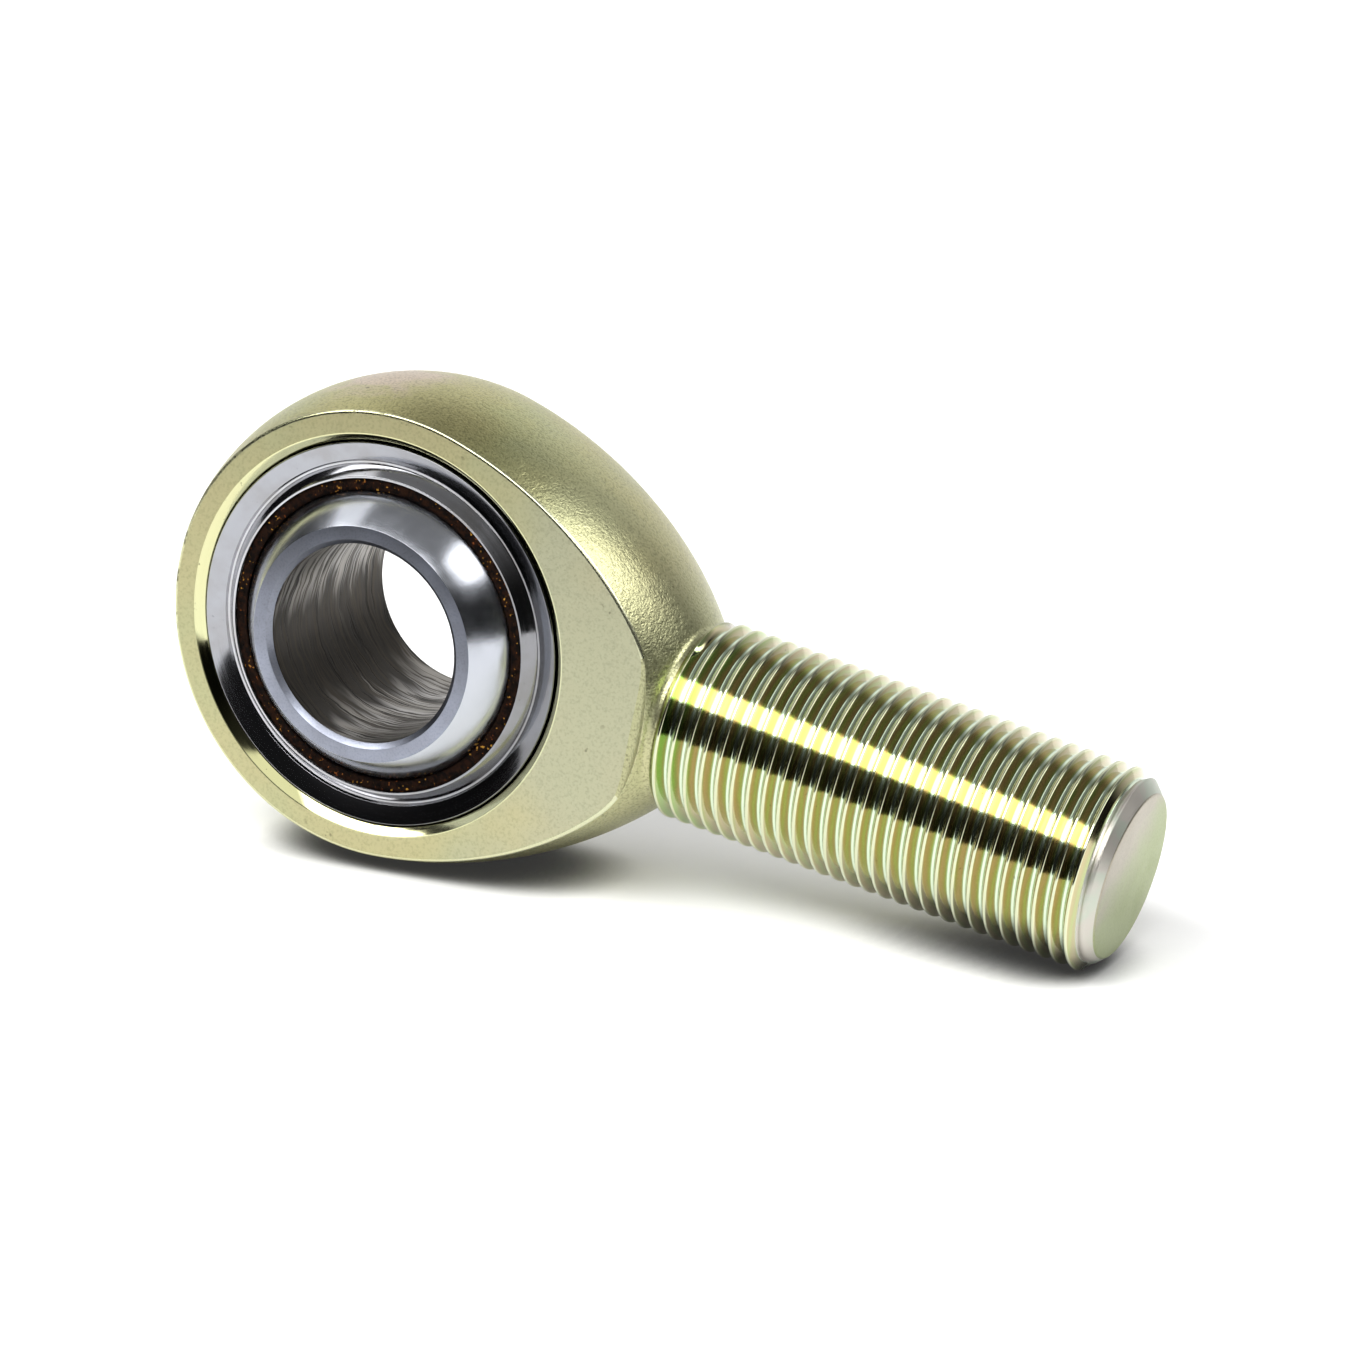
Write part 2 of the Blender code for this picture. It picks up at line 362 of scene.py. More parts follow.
def chromate_turned(name):
    """The seat's chamfer and bore: brighter turned metal under the plating, with painted shade low on the
    left.
    """
    made, tree, place = start_material(name)
    tint = mixed(tree, 0.5, chromate_tint(tree, place), FRESH_CUT)
    rings = turned(tree, place, 4200.0)
    flecks = ramp(tree, noise(tree, place, 1900.0, 3.0, 0.65), 0.66, 0.72)
    tint = mixed(tree, maths(tree, "MULTIPLY", flecks, 0.7), tint, DIRT)
    # painted shade: the seat's chamfer darkened nearly to black low on the left
    low = dot(tree, place, SEAT_PAINTED_SHADE_WAY)
    tint = mixed(tree, ramp(tree, low, 0.0163, 0.0171, 0.0, 0.85), tint, PAINTED_SEAT_SHADE)
    end_material(tree, tint, ramp(tree, rings, 0.3, 0.7, 0.06, 0.12), bump(tree, rings, 0.0008 * MM))
    return made


def chromate_thread(name):
    """Rolled thread under the iridescent plating: cream crests, green to salmon flanks, pale roots."""
    made, tree, place = start_material(name)
    lift = node(tree, "Attribute", attribute_name="lift").outputs["Fac"]
    lean = node(tree, "Attribute", attribute_name="lean").outputs["Fac"]
    drift = noise(tree, stretched(tree, place, (1.0, 0.4, 0.4)), 75.0, 2.0, 0.5, 0.5)
    patch = noise(tree, place, 380.0, 2.0, 0.5, 0.4)
    film = ramp(tree, coordinate(tree, place, 0), 0.030, 0.046, 0.0, 0.52)
    film = drifted(tree, film, drift, 1.9)
    film = drifted(tree, film, patch, 0.5)
    film = maths(tree, "ADD", film, maths(tree, "MULTIPLY", maths(tree, "SUBTRACT", 0.85, lift), 0.75))
    film = maths(tree, "PINGPONG", film, 1.0)
    bands = node(tree, "ValToRGB", {0: film})
    stops = bands.color_ramp
    stops.elements[0].position = 0.10
    stops.elements[0].color = GREEN
    stops.elements[1].position = 1.0
    stops.elements[1].color = LIME
    for at, colour in ((0.34, DEEP_OLIVE), (0.58, SALMON), (0.80, OCHRE)):
        stops.elements.new(at).color = colour
    tint = mixed(tree, 0.10, bands.outputs[0], THIN_FILM)
    tint = mixed(tree, ramp(tree, lift, 0.84, 0.94), tint, CREAM)
    tint = mixed(tree, ramp(tree, lift, 0.975, 0.998, 0.0, 0.55), tint, CREST)
    tint = mixed(tree, ramp(tree, lift, 0.16, 0.05), tint, MINT)
    tint = mixed(tree, ramp(tree, lean, -0.40, -0.80, 0.0, 0.8), tint, FAR_FLANK)
    flecks = ramp(tree, noise(tree, place, 1500.0, 3.0, 0.6), 0.70, 0.75)
    tint = mixed(tree, maths(tree, "MULTIPLY", flecks, 0.6), tint, DIRT)
    streaks = noise(tree, stretched(tree, place, (1.0, 0.05, 0.05)), 5200.0, 2.0)
    rough = ramp(tree, streaks, 0.3, 0.7, 0.07, 0.14)
    end_material(tree, tint, rough, bump(tree, streaks, 0.003 * MM),
                 Coat_Weight=0.5, Coat_Roughness=0.08, Coat_IOR=1.6)
    return made


def chromate_tip(name):
    """The shank's end face: satin, pale green with a pink cast across it."""
    made, tree, place = start_material(name)
    apart = node(tree, "SeparateXYZ", {0: place})
    across = maths(tree, "ADD", maths(tree, "MULTIPLY", apart.outputs[1], -55.0),
                   maths(tree, "MULTIPLY", apart.outputs[2], 75.0))
    cloud = noise(tree, place, 190.0, 3.0, 0.5, 0.8)
    share = maths(tree, "ADD", across, cloud)
    tint = mixed(tree, ramp(tree, share, 0.35, 0.95), rgb(0.31, 0.355, 0.175), rgb(0.39, 0.355, 0.285))
    fine = noise(tree, place, 4600.0, 2.0, 0.6)
    pores = ramp(tree, fine, 0.30, 0.55, 0.86, 1.0)
    tint = dimmed(tree, tint, pores)
    end_material(tree, tint, ramp(tree, cloud, 0.3, 0.7, 0.30, 0.38), bump(tree, fine, 0.014 * MM))
    return made


def chromate_rim(name):
    """The chamfer at the shank's end: paler and brighter than the end face, mint to rose."""
    made, tree, place = start_material(name)
    cloud = noise(tree, place, 230.0, 3.0, 0.5, 0.8)
    tint = mixed(tree, ramp(tree, cloud, 0.42, 0.60), rgb(0.50, 0.54, 0.46), rgb(0.55, 0.52, 0.47))
    fine = noise(tree, place, 3600.0, 2.0, 0.6)
    normal = bump(tree, noise(tree, place, 1300.0, 2.0), 0.012 * MM)
    end_material(tree, tint, 0.42, bump(tree, fine, 0.012 * MM, normal=normal))
    return made


def race_steel(name, low, high, cast):
    """Turned steel with fine rings and a few pits, with painted shade darker towards the shank. cast is
    laid over it.
    """
    made, tree, place = start_material(name)
    rings = turned(tree, place, 5200.0)
    smear = noise(tree, place, 320.0, 3.0, 0.6)
    tint = mixed(tree, ramp(tree, smear, 0.35, 0.7), rgb(0.50, 0.505, 0.53), rgb(0.44, 0.435, 0.44))
    pits = ramp(tree, noise(tree, place, 2600.0, 2.0, 0.6), 0.70, 0.76)
    tint = mixed(tree, maths(tree, "MULTIPLY", pits, 0.5), tint, rgb(0.10, 0.09, 0.08))
    tint = mixed(tree, 1.0, tint, cast, "MULTIPLY")
    # painted shade: darker towards the shank
    painted_shank_side_shade = ramp(tree, coordinate(tree, place, 0), -0.008, 0.016, 1.0, 0.52)
    tint = dimmed(tree, tint, painted_shank_side_shade)
    rough = maths(tree, "ADD", ramp(tree, rings, 0.3, 0.7, low, high), maths(tree, "MULTIPLY", smear, 0.03))
    end_material(tree, tint, rough, bump(tree, rings, 0.0009 * MM))
    return made


def liner_fabric(name):
    """Woven fabric liner seen on edge: nearly black resin with rust-brown threads."""
    made, tree, place = start_material(name)
    weave = noise(tree, place, 1700.0, 3.0, 0.7)
    fibre = maths(tree, "ADD", noise(tree, place, 2900.0, 2.0, 0.6),
                  maths(tree, "MULTIPLY", noise(tree, place, 260.0, 2.0), 0.25))
    glow = noise(tree, place, 1100.0, 2.0)
    tint = mixed(tree, ramp(tree, weave, 0.35, 0.65), rgb(0.0015, 0.001, 0.0008), rgb(0.014, 0.005, 0.002))
    speck = mixed(tree, ramp(tree, glow, 0.4, 0.6), rgb(0.15, 0.040, 0.010), rgb(0.42, 0.21, 0.03))
    tint = mixed(tree, ramp(tree, fibre, 0.77, 0.83), tint, speck)
    normal = bump(tree, weave, 0.12 * MM)
    end_material(tree, tint, 0.8, normal, metallic=0.0, Specular_IOR_Level=0.08)
    return made


def ball_chrome(name):
    """Hard chrome on the sphere: polished, with a faint haze of fine scratches."""
    made, tree, place = start_material(name)
    scratch_a = noise(tree, stretched(tree, place, (1.0, 0.06, 1.0)), 3800.0, 2.0)
    scratch_b = noise(tree, stretched(tree, place, (0.08, 1.0, 0.4)), 3400.0, 2.0)
    haze = noise(tree, place, 420.0, 3.0, 0.6)
    tint = mixed(tree, haze, rgb(0.52, 0.54, 0.585), rgb(0.47, 0.49, 0.54))
    rough = ramp(tree, haze, 0.3, 0.7, 0.15, 0.22)
    normal = bump(tree, scratch_a, 0.0022 * MM)
    normal = bump(tree, scratch_b, 0.0022 * MM, normal=normal)
    end_material(tree, tint, rough, normal)
    return made


def ball_face(name):
    """The ball's ground faces and edge breaks: blue-grey satin, with painted shade darkening them towards
    the top.
    """
    made, tree, place = start_material(name)
    fine = noise(tree, place, 5200.0, 2.0, 0.6)
    cloud = noise(tree, place, 300.0, 3.0, 0.6)
    rings = turned(tree, place, 2600.0)
    tint = mixed(tree, ramp(tree, cloud, 0.3, 0.7), rgb(0.30, 0.32, 0.385), rgb(0.27, 0.285, 0.335))
    pores = ramp(tree, fine, 0.28, 0.55, 0.85, 1.0)
    tint = dimmed(tree, tint, pores)
    # painted shade: the faces darker towards the top
    shade = ramp(tree, coordinate(tree, place, 2), -0.006, 0.0105, 1.0, 0.38)
    tint = dimmed(tree, tint, shade)
    normal = bump(tree, fine, 0.010 * MM)
    normal = bump(tree, rings, 0.004 * MM, normal=normal)
    end_material(tree, tint, ramp(tree, cloud, 0.3, 0.7, 0.30, 0.40), normal)
    return made


def ball_bore(name):
    """The bore as it left the reamer: torn fine rings of grey steel, with painted shade, brown-black, low
    on the left.
    """
    made, tree, place = start_material(name)
    wander = maths(tree, "MULTIPLY", noise(tree, place, 150.0, 3.0), 0.0030)
    shift = node(tree, "CombineXYZ", {1: wander}).outputs[0]
    shifted = node(tree, "VectorMath", {0: place, 1: shift}, operation="ADD").outputs[0]
    fine = noise(tree, stretched(tree, shifted, (130.0, 3300.0, 130.0)), 1.0, 2.0, 0.6, 0.2)
    tears = noise(tree, stretched(tree, shifted, (75.0, 2000.0, 75.0)), 1.0, 3.0, 0.7, 0.6)
    broad = noise(tree, stretched(tree, shifted, (90.0, 500.0, 90.0)), 1.0, 2.0)
    # painted shade: the bore's wall darkened to brown-black low on the left, edged by a noise field
    painted_bore_shade = drifted(tree, dot(tree, place, BORE_PAINTED_SHADE_WAY), broad, 0.007)
    steel = mixed(tree, ramp(tree, broad, 0.35, 0.65), rgb(0.34, 0.32, 0.29), rgb(0.52, 0.505, 0.49))
    steel = mixed(tree, ramp(tree, painted_bore_shade, 0.0058, 0.0086, 0.0, 0.97), steel, rgb(0.016, 0.012, 0.007))
    tint = mixed(tree, ramp(tree, fine, 0.44, 0.50, 0.85, 0.0), steel, rgb(0.05, 0.04, 0.028))
    tint = mixed(tree, ramp(tree, tears, 0.445, 0.41), tint, rgb(0.012, 0.009, 0.005))
    height = maths(tree, "ADD", maths(tree, "MULTIPLY", fine, 0.35), ramp(tree, tears, 0.34, 0.44))
    end_material(tree, tint, ramp(tree, fine, 0.3, 0.7, 0.46, 0.36), bump(tree, height, 0.008 * MM))
    return made


# how far the painted contact shadow on the floor reaches
CONTACT_REACH = 6.5 * MM


def floor_white(name):
    """White paper, seen from above only, with a painted contact shadow where the part comes close to it."""
    made, tree, place = start_material(name)
    grain = noise(tree, place, 900.0, 2.0)
    white = mixed(tree, grain, rgb(0.93, 0.93, 0.93), rgb(0.95, 0.95, 0.95))
    # painted contact shadow: the floor darkened by ambient occlusion near the part
    painted_contact_shadow = node(tree, "AmbientOcclusion", {"Distance": CONTACT_REACH}).outputs["AO"]
    painted_contact_shadow = ramp(tree, painted_contact_shadow, 0.15, 0.80, 0.08, 1.0)
    white = dimmed(tree, white, painted_contact_shadow)
    paper = node(tree, "BsdfPrincipled", {"Base Color": white, "Roughness": 0.9, "Specular IOR Level": 0.0,
                                          "Emission Color": rgb(1.0, 1.0, 1.0), "Emission Strength": 0.03})
    clear = node(tree, "BsdfTransparent")
    below = node(tree, "NewGeometry").outputs["Backfacing"]
    both = node(tree, "MixShader", {0: below, 1: paper.outputs[0], 2: clear.outputs[0]})
    node(tree, "OutputMaterial", {"Surface": both.outputs[0]})
    return made


CROWN = chromate_satin("chromate_crown", 0.036 * MM, 0.33, 0.62, rgb(0.95, 0.93, 0.78))
FLAT = chromate_satin("chromate_flat", 0.010 * MM, 0.38, 0.84, rgb(0.91, 0.89, 0.88))
EDGE = chromate_edge("chromate_edge")
SEAT = chromate_turned("chromate_seat")
THREAD = chromate_thread("chromate_thread")
TIP = chromate_tip("chromate_tip")
RIM = chromate_rim("chromate_rim")
RACE = race_steel("race_steel_satin", 0.06, 0.11, rgb(0.74, 0.75, 0.77))
RACE_BRIGHT = race_steel("race_steel_bright", 0.05, 0.11, rgb(1.0, 1.0, 1.0))
# a darker, browner and duller copy of the race steel, for the wall inside the groove
RACE_DARK_WALL = race_steel("race_steel_dark_wall", 0.10, 0.18, rgb(0.36, 0.31, 0.25))
LINER = liner_fabric("liner_fabric")
CHROME = ball_chrome("ball_chrome")
FACE = ball_face("ball_face")
BORE = ball_bore("ball_bore")


# ---------------------------------------------------------------- the head
lean_out = SHOULDER_RADIUS - HEAD_RADIUS
shoulder_across = -lean_out * math.sin(SHOULDER_START)
shoulder_along = -lean_out * math.cos(SHOULDER_START)
fillet_across = NECK_RADIUS + NECK_FILLET
fillet_rise = fillet_across - shoulder_across
fillet_run = math.sqrt((SHOULDER_RADIUS + NECK_FILLET) ** 2 - fillet_rise ** 2)
fillet_along = shoulder_along + fillet_run
shoulder_end = math.atan2(fillet_run, fillet_rise)
JOIN_ALONG = HEAD_RADIUS * math.cos(SHOULDER_START)
FILLET_FROM = shoulder_along + SHOULDER_RADIUS * math.sin(shoulder_end)


def head_radius(along):
    """The turned head's radius at a place along +X: ball end, shoulder, fillet, neck."""
    x = np.asarray(along, float)
    ball = np.sqrt(np.clip(HEAD_RADIUS ** 2 - x ** 2, 0, None))
    shoulder = shoulder_across + np.sqrt(np.clip(SHOULDER_RADIUS ** 2 - (x - shoulder_along) ** 2, 0, None))
    fillet = fillet_across - np.sqrt(np.clip(NECK_FILLET ** 2 - (x - fillet_along) ** 2, 0, None))
    made = np.where(x < JOIN_ALONG, ball, shoulder)
    made = np.where(x > FILLET_FROM, fillet, made)
    return np.where(x > fillet_along, NECK_RADIUS, made)


EDGE_ROUND = 0.24 * MM
EDGE_CUT = 0.09 * MM
EDGE_SUPPORT = 0.06 * MM
EDGE_ROWS = 5
ROWS = 56
OUTLINE_STEPS = 161
SHOULDER_SHARE = 0.34
SEAT_MARGIN = 0.10 * MM
FLAT_ROWS = 4
WELD = 2e-6


def head_surface(step_share, side, y):
    """A point of the crown. side is +1 above and -1 below; step_share runs from the neck to the far end."""
    ring = math.sqrt(HEAD_RADIUS ** 2 - y * y)
    if step_share > SHOULDER_SHARE:
        round_share = (step_share - SHOULDER_SHARE) / (1 - SHOULDER_SHARE)
        turn = SHOULDER_START + (math.pi - SHOULDER_START) * round_share
        return Vector((ring * math.cos(turn), y, side * ring * math.sin(turn)))
    share = (step_share / SHOULDER_SHARE) ** 1.6
    x = FLAT_END + (ring * math.cos(SHOULDER_START) - FLAT_END) * share
    height = math.sqrt(max(float(head_radius(x)) ** 2 - y * y, 0.0))
    return Vector((x, y, side * height))


def crown_reach(step_share):
    """How far out from the middle the crown goes: to the flat, and past it near the flat's end."""
    inner = HEAD_HALF - EDGE_ROUND
    x = head_surface(step_share, 1, HEAD_HALF).x
    near_end = min(max((x - FLAT_END) / FLAT_CLOSING + 1, 0.0), 1.0)
    return inner + (float(head_radius(FLAT_END)) - inner) * near_end ** 2


def build_head():
    """The head: one curve across the crown, both flats and both seats for each step of the outline."""
    shares = list(np.linspace(0, 1, OUTLINE_STEPS))
    path = [(s, 1) for s in shares] + [(s, -1) for s in reversed(shares[:-1])]
    outline = [head_surface(s, side, crown_reach(s)) for s, side in path]
    curves, columns = [], len(path)
    for i, (s, side) in enumerate(path):
        before = outline[max(i - 1, 0)]
        after = outline[min(i + 1, columns - 1)]
        tangent = Vector((after.x - before.x, 0, after.z - before.z)).normalized()
        inward = Vector((-tangent.z, 0, tangent.x))
        if i in (0, columns - 1):
            inward = Vector((-1, 0, 0))
        if inward.dot(Vector((4 * MM, 0, 0)) - outline[i]) < 0:
            inward = -inward
        reach = crown_reach(s)
        crown = [head_surface(s, side, -reach * math.cos(math.pi * j / ROWS)) for j in range(ROWS + 1)]
        far = crown[-1]
        drop = max(reach - HEAD_HALF, 0.0)
        corner = Vector((far.x, HEAD_HALF, far.z)) + inward * (EDGE_CUT + 0.5 * drop)
        rim = corner + inward * (EDGE_ROUND + 0.8 * drop)
        fold = [far * (1 - t) ** 2 + corner * 2 * t * (1 - t) + rim * t ** 2
                for t in np.linspace(0, 1, EDGE_ROWS + 1)[1:]]
        support = rim + inward * EDGE_SUPPORT
        turn = math.atan2(rim.z, rim.x)
        spokes = []
        hole = SEAT_CHAMFER_RADIUS + SEAT_MARGIN
        ring_at = Vector((hole * math.cos(turn), HEAD_HALF, hole * math.sin(turn)))
        for t in (0.33, 0.66, 1.0):
            spokes.append(support.lerp(ring_at, t))
        seat = []
        for radius, y in softened([
            (hole, HEAD_HALF), (SEAT_CHAMFER_RADIUS, HEAD_HALF),
            (SEAT_RADIUS + 0.05 * MM, HEAD_HALF - SEAT_CHAMFER_DEPTH),
            (SEAT_RADIUS, HEAD_HALF - SEAT_CHAMFER_DEPTH - 0.6 * MM),
        ], (0, 0.05 * MM, 0.10 * MM, 0), 3, False)[1:]:
            seat.append(Vector((radius * math.cos(turn), y, radius * math.sin(turn))))
        half = fold + [support] + spokes + seat
        if i in (0, columns - 1):
            for p in half + [crown[0], crown[-1]]:
                p.z = 0.0
        mirror = [Vector((p.x, -p.y, p.z)) for p in reversed(half)]
        curves.append(mirror + crown + half)
    row_count = len(curves[0])
    side_rows = len(half)
    on_crown, on_edge, on_flat, in_seat = range(4)
    verts = [p for curve in curves for p in curve]
    marks_for_row = []
    for j in range(row_count):
        depth = min(j, row_count - 2 - j) if j < row_count - 1 else 0
        if j == row_count - 1:
            marks_for_row.append(in_seat)
        elif depth >= side_rows:
            marks_for_row.append(on_crown)
        elif depth >= side_rows - EDGE_ROWS:
            marks_for_row.append(on_edge)
        elif depth >= side_rows - EDGE_ROWS - FLAT_ROWS:
            marks_for_row.append(on_flat)
        else:
            marks_for_row.append(in_seat)
    faces, marks = [], []
    for i in range(columns - 1):
        for j in range(row_count):
            k = (j + 1) % row_count
            a, b = i * row_count, (i + 1) * row_count
            faces.append((a + j, b + j, b + k, a + k))
            blend = marks_for_row[j] == on_edge and crown_reach(path[i][0]) > HEAD_HALF
            marks.append(on_crown if blend else marks_for_row[j])
    # the neck: rings from the flat's end to the thread, sharing the half circles there
    top = list(range(side_rows, side_rows + ROWS + 1))
    base = (columns - 1) * row_count
    bottom = list(range(base + side_rows, base + side_rows + ROWS + 1))
    loop = top + bottom[::-1]
    ring_verts = [verts[v] for v in loop]
    last = loop
    stops = list(np.linspace(FLAT_END, fillet_along, 8))[1:] + [THREAD_START + 0.25 * MM]
    for x in stops:
        radius = float(head_radius(x))
        ring = []
        for p in ring_verts:
            turn = math.atan2(p.z, p.y)
            verts.append(Vector((x, radius * math.cos(turn), radius * math.sin(turn))))
            ring.append(len(verts) - 1)
        for i in range(len(loop)):
            k = (i + 1) % len(loop)
            faces.append((last[i], last[k], ring[k], ring[i]))
            marks.append(on_crown)
        last = ring
    verts.append(Vector((stops[-1], 0, 0)))
    for i in range(len(loop)):
        faces.append((last[i], last[(i + 1) % len(loop)], len(verts) - 1))
        marks.append(on_crown)
    made = mesh_object("body_forging", verts, faces, [CROWN, EDGE, FLAT, SEAT], marks)
    welded(made, WELD)
    weigh = made.modifiers.new("weighted_normals", "WEIGHTED_NORMAL")
    weigh.mode = "FACE_AREA"
    weigh.keep_sharp = False
    return made


# ---------------------------------------------------------------- the threaded shank
END_EDGE = 0.12 * MM
RIM_LENGTH = 1.75 * MM
SHANK_STEPS = 128


def build_shank():
    """The rolled thread as one helical sheet that runs into the neck, and the chamfered end."""
    half_crest = PITCH / 16
    half_root = 7 * PITCH / 16 - math.tan(math.radians(30)) * (THREAD_RADIUS - ROOT_RADIUS)
    corners = [
        (0.0, ROOT_RADIUS), (half_root, ROOT_RADIUS), (PITCH / 2 - half_crest, THREAD_RADIUS),
        (PITCH / 2 + half_crest, THREAD_RADIUS), (PITCH - half_root, ROOT_RADIUS), (PITCH, ROOT_RADIUS),
    ]
    round_by = (0, 0.16 * MM, 0.11 * MM, 0.11 * MM, 0.16 * MM, 0)
    profile = softened(corners, round_by, 3, False)[:-1]
    rows, steps = len(profile), SHANK_STEPS
    first = THREAD_START - 1.5 * PITCH
    turns = int((SHANK_END - first) / PITCH) + 2
    face_radius = THREAD_RADIUS - END_CHAMFER
    start_at, end_at = THREAD_START - 0.1 * MM, SHANK_END - END_EDGE
    start_radius = NECK_RADIUS - 0.03 * MM
    verts, lifts, leans = [], [], []
    total = turns * rows + 1
    for k in range(total):
        turn, index = divmod(k, rows)
        offset, height = profile[index]
        for j in range(steps):
            angle = TURN * j / steps
            x = first + (turn + j / steps) * PITCH + offset
            x = min(max(x, start_at), end_at)
            run_in = min(max((x - start_at) / RUN_IN, 0), 1)
            inner = start_radius - (NECK_RADIUS - ROOT_RADIUS) * run_in
            outer = start_radius + (x - start_at) * 1.1
            cone = face_radius + END_EDGE + end_at - x
            radius = min(max(height, inner), outer, cone)
            verts.append((x, radius * math.cos(angle), radius * math.sin(angle)))
            lifts.append((radius - ROOT_RADIUS) / (THREAD_RADIUS - ROOT_RADIUS))
            leans.append(math.sin(TURN * offset / PITCH))
    faces, marks = [], []
    on_thread, on_tip, on_rim = range(3)

    def corner(k, j):
        """The vertex at row k and step j; the step after a turn's last is the next turn's first."""
        return (k + rows) * steps if j == steps else k * steps + j

    for k in range(total - 1):
        for j in range(steps):
            if j == steps - 1 and k + 1 + rows >= total:
                continue
            faces.append((corner(k, j), corner(k, j + 1), corner(k + 1, j + 1), corner(k + 1, j)))
            x = verts[corner(k, j)][0]
            marks.append(on_rim if x > SHANK_END - RIM_LENGTH else on_thread)
    # the end face: a rounded rim and a shallow dish, down to the middle
    dish_radius = face_radius - 0.2 * MM
    end_rows = [
        (face_radius + END_EDGE, SHANK_END - END_EDGE),
        (face_radius + 0.05 * MM, SHANK_END - 0.05 * MM),
        (face_radius - 0.06 * MM, SHANK_END - 0.005 * MM),
        (dish_radius, SHANK_END),
    ]
    for t in np.linspace(0.06, 0.97, 14):
        sink = DISH_DEPTH * (1 - math.cos(math.pi * min(t * 1.6, 1))) / 2
        end_rows.append((dish_radius * (1 - t), SHANK_END - sink))
    last = None
    for radius, x in end_rows:
        ring = []
        for j in range(steps):
            angle = TURN * j / steps
            verts.append((x, radius * math.cos(angle), radius * math.sin(angle)))
            lifts.append(0.0)
            leans.append(0.0)
            ring.append(len(verts) - 1)
        if last:
            for j in range(steps):
                k = (j + 1) % steps
                faces.append((last[j], last[k], ring[k], ring[j]))
                marks.append(on_tip)
        last = ring
    verts.append((end_rows[-1][1], 0, 0))
    lifts.append(0.0)
    leans.append(0.0)
    for j in range(steps):
        faces.append((last[j], last[(j + 1) % steps], len(verts) - 1))
        marks.append(on_tip)
    made = mesh_object("body_shank", verts, faces, [THREAD, TIP, RIM], marks)
    for name, values in (("lift", lifts), ("lean", leans)):
        attribute = made.data.attributes.new(name, "FLOAT", "POINT")
        attribute.data.foreach_set("value", np.asarray(values, np.float32))
    return welded(made, WELD)


# ---------------------------------------------------------------- race, liner and ball
RACE_STEPS = 288
LINER_STEPS = 320
BALL_STEPS = 256
FRAY_COUNT = 520
OCTAHEDRON = ((0, 2, 4), (2, 1, 4), (1, 3, 4), (3, 0, 4), (2, 0, 5), (1, 2, 5), (3, 1, 5), (0, 3, 5))
BORE_CHAMFER = 0.5 * MM


def on_sphere(radius, y):
    """A sphere's radius at a height along the bore's axis."""
    return math.sqrt(radius ** 2 - y ** 2)


def build_race():
    """The race: a ring with a staked lip and a groove at both faces, spherical inside."""
    bore_at = on_sphere(RACE_BORE_SPHERE, RACE_HALF)
    corners = [
        (RACE_RADIUS, 0.0),
        (RACE_RADIUS, RACE_RIM - 0.35 * MM),
        (RACE_LIP_RADIUS, RACE_RIM - 0.13 * MM),
        (RACE_LIP_RADIUS - 0.12 * MM, RACE_RIM),
        (RACE_LIP_INNER, RACE_GROOVE_HEIGHT + 0.26 * MM),
        (RACE_LIP_INNER - 0.15 * MM, RACE_GROOVE_HEIGHT + 0.02 * MM),
        (RACE_GROOVE_RADIUS, RACE_GROOVE_HEIGHT),
        (bore_at + 0.23 * MM, RACE_HALF),
        (bore_at, RACE_HALF),
        (on_sphere(RACE_BORE_SPHERE, RACE_HALF - 0.2 * MM), RACE_HALF - 0.2 * MM),
    ]
    rounds = [0, 0.10, 0.05, 0.06, 0.06, 0.05, 0.05, 0.05, 0.04, 0]
    half = softened(corners, [r * MM for r in rounds], 4, False)
    inner = [(on_sphere(RACE_BORE_SPHERE, y), y) for y in np.linspace(RACE_HALF - 0.3 * MM, 0, 16)]
    profile = mirrored(half[1:] + inner[:-1])
    marks = []
    satin, bright, dark_wall = range(3)
    for i, (r, y) in enumerate(profile):
        after = profile[(i + 1) % len(profile)]
        wall = max(r, after[0]) < RACE_GROOVE_RADIUS - 0.03 * MM and min(r, after[0]) > bore_at + 0.24 * MM
        marks.append(dark_wall if wall else bright if r < RACE_LIP_INNER - 0.02 * MM else satin)
    return lathe("race_ring", profile, RACE_STEPS, [RACE, RACE_BRIGHT, RACE_DARK_WALL], marks)


def build_liner():
    """The liner: a thin spherical ring whose two ends are cut unevenly."""
    tilt_steps = np.linspace(1, -1, 25)
    outer = [(on_sphere(LINER_OUTER, y * LINER_HALF), y * LINER_HALF) for y in tilt_steps]
    inner = [(on_sphere(LINER_INNER, y * LINER_HALF), y * LINER_HALF) for y in reversed(tilt_steps)]
    top = [((inner[-1][0] * (1 - t) + outer[0][0] * t), LINER_HALF) for t in (0.25, 0.5, 0.75)]
    low = [(r, -y) for r, y in reversed(top)]
    made = lathe("liner_ring", outer + low + inner + top, LINER_STEPS, [LINER])
    draw = np.random.default_rng(7)
    ripple = draw.uniform(0, TURN, 12)
    for v in made.data.vertices:
        if abs(v.co.y) > LINER_HALF - 0.01 * MM:
            angle = math.atan2(v.co.z, v.co.x)
            wave = sum(math.sin(angle * (9 + 13 * i) + ripple[i]) for i in range(12)) / 12
            v.co.y -= math.copysign(0.10 * MM + 0.30 * MM * wave, v.co.y) * 0.6
    return made


